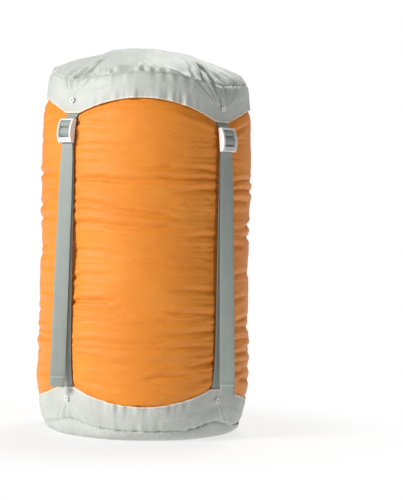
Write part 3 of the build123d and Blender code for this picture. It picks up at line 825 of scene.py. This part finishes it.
class Strap:
    """One strap's own plane: points are (radius, height) pairs at its azimuth."""

    def __init__(self, name):
        self.name = name
        hinge = JOINTS[f"buckle_tilt_{name}"]["pos_m"]
        self.azimuth = atan2(hinge[1], hinge[0])
        self.eye = self.flatten(hinge)
        self.exit = self.flatten(JOINTS[f"tail_hang_{name}"]["pos_m"])
        self.bend = self.flatten(JOINTS[f"tail_draw_out_{name}"]["pos_m"])
        seen = self.exit - self.eye
        drawn = TAIL_EXIT - LOOP_BAR
        self.lean = atan2(drawn[0], drawn[1]) - atan2(seen[0], seen[1])
        self.facing = -1 if sin(self.azimuth) * cos(self.azimuth) > 0 else 1
        self.down = (self.bend - self.exit) / np.linalg.norm(self.bend - self.exit)

    def flatten(self, point):
        return np.array([np.hypot(point[0], point[1]), point[2]])

    def from_buckle(self, point):
        """A point of the buckle's own frame, in the strap's plane."""
        out, up = np.asarray(point) - LOOP_BAR
        turn = self.lean
        return self.eye + np.array([out * cos(turn) - up * sin(turn),
                                    out * sin(turn) + up * cos(turn)])

    def tail(self, distance):
        return self.exit + self.down * distance

    def place(self, radius, aside, height):
        """Points in space from radius, distance aside of the strap's plane, and height."""
        x = radius * cos(self.azimuth) - aside * sin(self.azimuth)
        y = radius * sin(self.azimuth) + aside * cos(self.azimuth)
        return np.stack(np.broadcast_arrays(x, y, height), -1)

    def space(self, pair):
        return tuple(self.place(pair[0], 0, pair[1]).tolist())


def resample(path, step):
    """Evenly spaced points on a smooth curve through a path, and how far along it they are."""
    path = np.asarray(path, float)
    ends = np.vstack([2 * path[0] - path[1], path, 2 * path[-1] - path[-2]])
    spans = len(path) - 1
    dense = cubic(ends[:, None], np.linspace(1, spans + 1, 12 * spans + 1), False)[:, 0]
    length = np.r_[0, np.cumsum(np.linalg.norm(np.diff(dense, axis=0), axis=1))]
    where = np.linspace(0, length[-1], max(3, int(round(length[-1] / step)) + 1))
    return np.stack([np.interp(where, length, dense[:, k]) for k in (0, 1)], -1), where


def ribbon(name, strap, path, start=0.0, thickness=WEBBING_T, step=mm(1.6), twist=(0.0, 0.0)):
    """Webbing that follows a path in its strap's plane, with rounded edges and closed ends.

    start is where on the strap its weave begins, and twist is the angle at each end by which it turns
    towards the front or the back of the sack."""
    line, where = resample(path, step)
    tangent = np.gradient(line, axis=0)
    tangent /= np.linalg.norm(tangent, axis=1)[:, None]
    lateral = np.linspace(-1, 1, 9)
    face = thickness / 2 * (1 - 0.75 * np.abs(lateral) ** 8)
    across = np.r_[lateral, lateral[::-1]] * WEBBING_W / 2
    lift = np.r_[face, -face[::-1]]
    turn = strap.facing * np.interp(where, (0, where[-1]), twist)[:, None]
    rise = across * np.sin(turn) + lift * np.cos(turn)
    rings = strap.place(line[:, :1] - tangent[:, 1:] * rise, across * np.cos(turn) - lift * np.sin(turn),
                        line[:, 1:] + tangent[:, :1] * rise)
    uvs = tube_uv(np.append(across, across[0]), where + start)
    piece = ring_grid(name, rings, uvs, WEBBING, sharp=50.0, capped=True)
    return piece


STITCH_R = 0.36 * MM          # at a stitch's middle


def stitch_row(name, strap, centre, count, body):
    """A row of thread stitches across a tail's hem, standing just proud of its outer face."""
    turn = strap.facing * TAIL_TURN
    pitch = WEBBING_W * 0.92 / count
    station = np.linspace(-1, 1, 7)[:, None]
    angle = np.linspace(0, tau, 8, endpoint=False)
    swell = (1 - 0.6 * station ** 2) * STITCH_R
    lift = WEBBING_T + mm(0.05) + np.cos(angle) * swell
    height = centre[1] + np.sin(angle) * swell
    points, faces, uvs = np.empty((0, 3)), [], []
    for seat in (np.arange(count) + 0.5 - count / 2) * pitch:
        across = seat + station * pitch * 0.44
        rings = strap.place(centre[0] + across * sin(turn) + lift * cos(turn),
                            across * cos(turn) - lift * sin(turn), height)
        spots, sides, corners = ring_mesh(rings, tube_uv(np.arange(9) * MM, np.arange(7) * MM), capped=True)
        faces += [[len(points) + corner for corner in face] for face in sides]
        points = np.vstack([points, spots])
        uvs += corners.tolist()
    attach(mesh_object(name, points, faces, uvs, THREAD), "white_eyelet", body)


# A load strap is split at two heights, because the joints shorten or lengthen its parts.
MOUTH_SPLIT_Z = 236 * MM
LID_SPLIT_Z = 276 * MM
SPLIT_MARGIN = 1 * MM             # how far inside its part each end height lies
SHOULDER_Z = 288 * MM             # where the strap leaves the tube
LIP = 8 * MM                      # length of the part that bends at the buckle's lip


def build_load_strap(strap):
    """The load strap, from the base up to the buckle."""
    name, buckle = strap.name, f"buckle_{strap.name}"
    top = strap.from_buckle(LOAD_EXIT)
    line_r = BODY_R + mm(0.8)
    low = [mm(111.3, 46.0), mm(111.45, 53.5), mm(113.6, 64.0), mm(115.7, 86.0), (line_r, mm(130)),
           (line_r, mm(180)), (line_r, MOUTH_SPLIT_Z)]
    middle = [(line_r, MOUTH_SPLIT_Z), (line_r, (MOUTH_SPLIT_Z + LID_SPLIT_Z) / 2), (line_r, LID_SPLIT_Z)]
    shoulder = np.array([line_r + mm(0.1), SHOULDER_Z])
    knee_z = top[1] - LIP
    knee = shoulder + (top - shoulder) * (knee_z - SHOULDER_Z) / (top[1] - SHOULDER_Z)
    bend_z = LID_SPLIT_Z + SPLIT_MARGIN
    parts = [("lower", low, 0.0, mm(1.6), "base", "mouth", BASE_TIP_Z, MOUTH_SPLIT_Z - SPLIT_MARGIN),
             ("middle", middle, mm(190), mm(1.6), "mouth", "lid", MOUTH_SPLIT_Z + SPLIT_MARGIN,
              LID_SPLIT_Z - SPLIT_MARGIN),
             ("upper", [(line_r, LID_SPLIT_Z), shoulder, knee], mm(230), mm(1.6), "lid", buckle,
              bend_z, 2 * knee_z - bend_z),
             ("lip", [knee, top], mm(230) + knee_z - LID_SPLIT_Z, mm(0.8), "lid", buckle,
              2 * knee_z - top[1], top[1])]
    for part, path, start, step, first, second, low_z, high_z in parts:
        piece = ribbon(f"load_{part}_{name}", strap, path, start, step=step)
        strap.space((BODY_R, low_z))
        strap.space((BODY_R, high_z))
        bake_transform(piece)
        if part == "lower":
            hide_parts(f"load_strap_{name}")


def build_wrap(strap):
    path = [strap.from_buckle(p) for p in WRAP_LINE]
    piece = ribbon(f"threaded_webbing_{strap.name}", strap, path, mm(300), step=mm(0.6))
    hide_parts(f"strap_wrap_{strap.name}")
    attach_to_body(piece, f"buckle_{strap.name}")


TAIL_TURN = radians(41)           # how far a hanging tail's end has turned
TURN_POWER = 0.55                 # below 1, so that the tail turns faster near the buckle
PAYOUT_START = 35 * MM            # where on the tail the part that pays out begins
PAYOUT_END = 60.5 * MM            # and where it ends
TAIL_WEAVE = 340 * MM             # where on the strap the tail's weave begins
HEM = 13 * MM                     # length of the folded end


def build_tail(strap):
    """The free tail, in the stretches that hang, swing out, pay out and draw up."""
    name = strap.name
    length = (strap.exit[1] - bottom_of(f"tail_hem_{name}")) / -strap.down[1]
    swing = np.linalg.norm(strap.bend - strap.exit)
    hem = length - HEM
    stations = [0.0, swing * 0.8, PAYOUT_START, PAYOUT_END, hem]
    nodes = [f"tail_top_{name}", f"tail_swing_{name}", f"tail_{name}", None]
    for k in range(4):
        first, last = stations[k], stations[k + 1]
        path = [strap.tail(first + (last - first) * share) for share in (0, 0.5, 1)]
        turns = [TAIL_TURN * (station / length) ** TURN_POWER for station in (first, last)]
        piece = ribbon(f"tail_part_{k + 1}_{name}", strap, path, TAIL_WEAVE + first, twist=turns)
        strap.space(strap.tail(first + mm(0.5)))
        strap.space(strap.tail(last - mm(0.5)))
        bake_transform(piece)
        if nodes[k]:
            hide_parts(nodes[k])
    path = [strap.tail(hem), strap.tail((hem + length) / 2), strap.tail(length)]
    end = ribbon(f"tail_hem_fold_{name}", strap, path, TAIL_WEAVE + hem, 2 * WEBBING_T,
                 twist=(TAIL_TURN * (hem / length) ** TURN_POWER, TAIL_TURN))
    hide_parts(f"tail_hem_{name}")
    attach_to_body(end, f"tail_end_{name}")
    stitch_row(f"tail_hem_stitches_{name}", strap, strap.tail(length - mm(10.5)), 7, f"tail_end_{name}")


def build_tab(strap):
    """Webbing loop from the lid's tip, behind the buckle's top rim and round its loop bar."""
    name = strap.name
    tip_z = LID_TIP_Z - SKIRT_R * cos(strap.azimuth) * sin(LID_TILT)
    top = np.array([mm(110.3), tip_z + mm(9)])
    waist = np.array([mm(110.7), tip_z - mm(1.0)])
    toward = (waist - strap.eye) / np.linalg.norm(waist - strap.eye)
    outer = np.array([toward[1], -toward[0]])
    ring = mm(2.3)
    ply = WEBBING_T / 2
    path = [top + outer * ply, waist + outer * ply, strap.eye + toward * mm(6.5) + outer * ply * 1.3]
    for turn in radians(-35), 0, radians(45), radians(90), radians(135), pi, radians(215):
        path.append(strap.eye + outer * ring * cos(turn) - toward * ring * sin(turn))
    path += [strap.eye + toward * mm(6.5) - outer * ply * 1.3, waist - outer * ply * 1.1,
             top - outer * ply * 1.1]
    piece = ribbon(f"lid_loop_{name}", strap, path, step=mm(0.7))
    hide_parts(f"lid_tab_{name}")
    strap.space(strap.eye + toward * mm(7.5))
    strap.space(strap.eye + toward * mm(2.6))
    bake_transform(piece)


# ---- drawcord -----------------------------------------------------------------------------
def round_cord(name, path, radius, material, closed=False, across=(0, 0, 1)):
    """Cord of round section through a line of points in space, never parallel to across."""
    ahead = np.roll(path, -1, 0) - np.roll(path, 1, 0) if closed else np.gradient(path, axis=0)
    ahead /= np.linalg.norm(ahead, axis=1)[:, None]
    side = np.cross(ahead, across)
    side /= np.linalg.norm(side, axis=1)[:, None]
    turn = np.linspace(0, tau, 11)
    rim = turn[:-1, None]
    rings = side[:, None] * np.cos(rim) + np.cross(side, ahead)[:, None] * np.sin(rim)
    along = np.arange(len(path) + 1) * np.linalg.norm(path[1] - path[0])
    return ring_grid(name, path[:, None] + radius * rings, tube_uv(turn * radius, along), material,
                     closed=closed, capped=not closed)


def build_drawcord():
    cord_r = mm(1.25)
    ring_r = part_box("drawcord")[1].x - cord_r
    turn = np.linspace(0, tau, 72, endpoint=False)
    ring = np.stack([ring_r * np.cos(turn), ring_r * np.sin(turn), MOUTH_Z + turn * 0], -1)
    loop = round_cord("drawcord_ring", ring, cord_r, CORD, closed=True)
    attach(loop, "cord", "mouth", "drawcord")
    end_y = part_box("drawcord")[0].y
    for side in (-1, 1):
        y = np.linspace(-ring_r + mm(0.5), end_y - mm(1.5), 46)
        leg = np.stack([y * 0, y, MOUTH_Z + side * (cord_r + mm(0.15)) + y * 0], -1)
        piece = round_cord(f"drawcord_leg_{'upper' if side > 0 else 'lower'}", leg, cord_r, CORD)
        attach(piece, "cord", "mouth")


def build_spring():
    """The cord lock's coil spring, squeezed between the plunger and the barrel's closed end."""
    low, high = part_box("cord_lock_spring")
    wire_r, turns, margin = 0.3 * MM, 4, 0.5 * MM
    centre = (low + high) / 2
    coil_r = high.y - centre.y - wire_r
    turn = np.linspace(0, tau * turns, 97)
    along = np.linspace(low.x + wire_r, high.x - wire_r, len(turn))
    path = np.stack([along, centre.y + coil_r * np.cos(turn), centre.z + coil_r * np.sin(turn)], -1)
    piece = round_cord("lock_spring_coil", path, wire_r, STEEL, across=(1, 0, 0))
    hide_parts("cord_lock_spring")
    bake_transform(piece)


# ---- CAD pieces that stay -----------------------------------------------------------------
def dress_cad_nodes():
    finishes = {"base_rivets": EYELET, "lid_rivets": EYELET, "cord_end_sleeve": LOCK,
                "cord_lock_barrel": LOCK, "cord_lock_plunger": LOCK}
    finishes.update({f"buckle_{name}": BUCKLE for name in STRAPS})
    for node, material in finishes.items():
        for slot in frame["nodes"][node].material_slots:
            slot.material = material


# ---- stage, light, camera -----------------------------------------------------------------
FLOOR = 6.0          # half the floor's width


def build_stage():
    """Pale floor that fades to the plain background, so that no horizon shows."""
    material, tree, shader = blank_material("stage_floor", 0.9)
    place = new_node(tree, "ShaderNodeTexCoord").outputs["Object"]
    grain = noise_node(tree, place, 90.0, 2.0)
    colour = mix_colours(tree, grain, rgba(0.86, 0.86, 0.86), rgba(0.89, 0.89, 0.89))
    tree.links.new(colour, shader.inputs["Base Color"])
    away = new_node(tree, "ShaderNodeVectorMath", {0: place}, operation="LENGTH").outputs["Value"]
    fade = map_range(tree, away, 0.10, 0.34, 0.7, 1.0, "SMOOTHSTEP")
    glow = new_node(tree, "ShaderNodeEmission", {"Color": rgba(1, 1, 1), "Strength": 1.0})
    both = new_node(tree, "ShaderNodeMixShader", {0: fade, 1: shader.outputs[0], 2: glow.outputs[0]})
    feed(tree, tree.nodes["Material Output"], {"Surface": both.outputs[0]})
    corners = [(-FLOOR, -FLOOR, 0), (FLOOR, -FLOOR, 0), (FLOOR, FLOOR, 0), (-FLOOR, FLOOR, 0)]
    floor = mesh_object("stage_floor", corners, [(0, 1, 2, 3)], [(0, 0), (1, 0), (1, 1), (0, 1)], material)


def build_world():
    """White to the camera, dimmer as a light."""
    world = bpy.data.worlds.new("studio")
    scene.world = world
    world.use_nodes = True
    tree = world.node_tree
    path = new_node(tree, "ShaderNodeLightPath")
    light = new_node(tree, "ShaderNodeBackground", {"Color": rgba(1.0, 0.975, 0.91), "Strength": 0.14})
    seen = new_node(tree, "ShaderNodeBackground", {"Color": rgba(1, 1, 1), "Strength": 1.0})
    both = new_node(tree, "ShaderNodeMixShader",
                    {0: path.outputs["Is Camera Ray"], 1: light.outputs[0], 2: seen.outputs[0]})
    feed(tree, tree.nodes["World Output"], {"Surface": both.outputs[0]})


# Disks of light, as (name, place, target, size, power, colour).
LIGHTS = [("key_left", (-3.1, -1.8, 1.75), (0, 0, 0.22), 1.2, 152, (1.0, 0.985, 0.97)),
          ("back_top", (0.45, 0.9, 1.7), (0, 0, 0.4), 1.0, 24, (1.0, 1.0, 1.0)),
          ("front_fill", (-0.3, -2.6, 0.7), (0, 0, 0.22), 1.4, 4.0, (1.0, 0.99, 0.96))]


def build_lights():
    for name, place, target, size, power, colour in LIGHTS:
        data = bpy.data.lights.new(name, "AREA")
        data.shape = "DISK"
        data.size = size
        data.energy = power
        data.color = colour
        lamp = bpy.data.objects.new(name, data)
        lamp.location = place
        lamp.rotation_mode = "QUATERNION"
        lamp.rotation_quaternion = (Vector(target) - Vector(place)).to_track_quat("-Z", "Y")
        scene.collection.objects.link(lamp)


CAMERA_DISTANCE = 1.82
CAMERA_HEIGHT = 0.245
CAMERA_SENSOR = 36.0          # mm
CAMERA_LENS = 118.08          # mm
CAMERA_DOWN = radians(1.41464)
CAMERA_RIGHT = radians(1.97313)
CAMERA_ROLL = radians(1.2)


def build_camera():
    data = bpy.data.cameras.new("camera")
    data.sensor_width = CAMERA_SENSOR
    data.lens = CAMERA_LENS
    camera = bpy.data.objects.new("camera", data)
    camera.location = (0, -CAMERA_DISTANCE, CAMERA_HEIGHT)
    aim = Euler((pi / 2 - CAMERA_DOWN, 0, -CAMERA_RIGHT)).to_matrix()
    camera.rotation_euler = (aim @ Matrix.Rotation(CAMERA_ROLL, 3, "Z")).to_euler()
    scene.collection.objects.link(camera)
    scene.camera = camera
    scene.view_settings.view_transform = "Standard"


# ---- build --------------------------------------------------------------------------------
STRAPS = [joint[len("buckle_tilt_"):] for joint in JOINTS if joint.startswith("buckle_tilt_")]

build_base()
build_tube()
build_lid()
build_tapes()
for strap_name in STRAPS:
    one_strap = Strap(strap_name)
    build_load_strap(one_strap)
    build_wrap(one_strap)
    build_tail(one_strap)
    build_tab(one_strap)
build_drawcord()
build_spring()
dress_cad_nodes()
build_stage()
build_world()
build_lights()
build_camera()
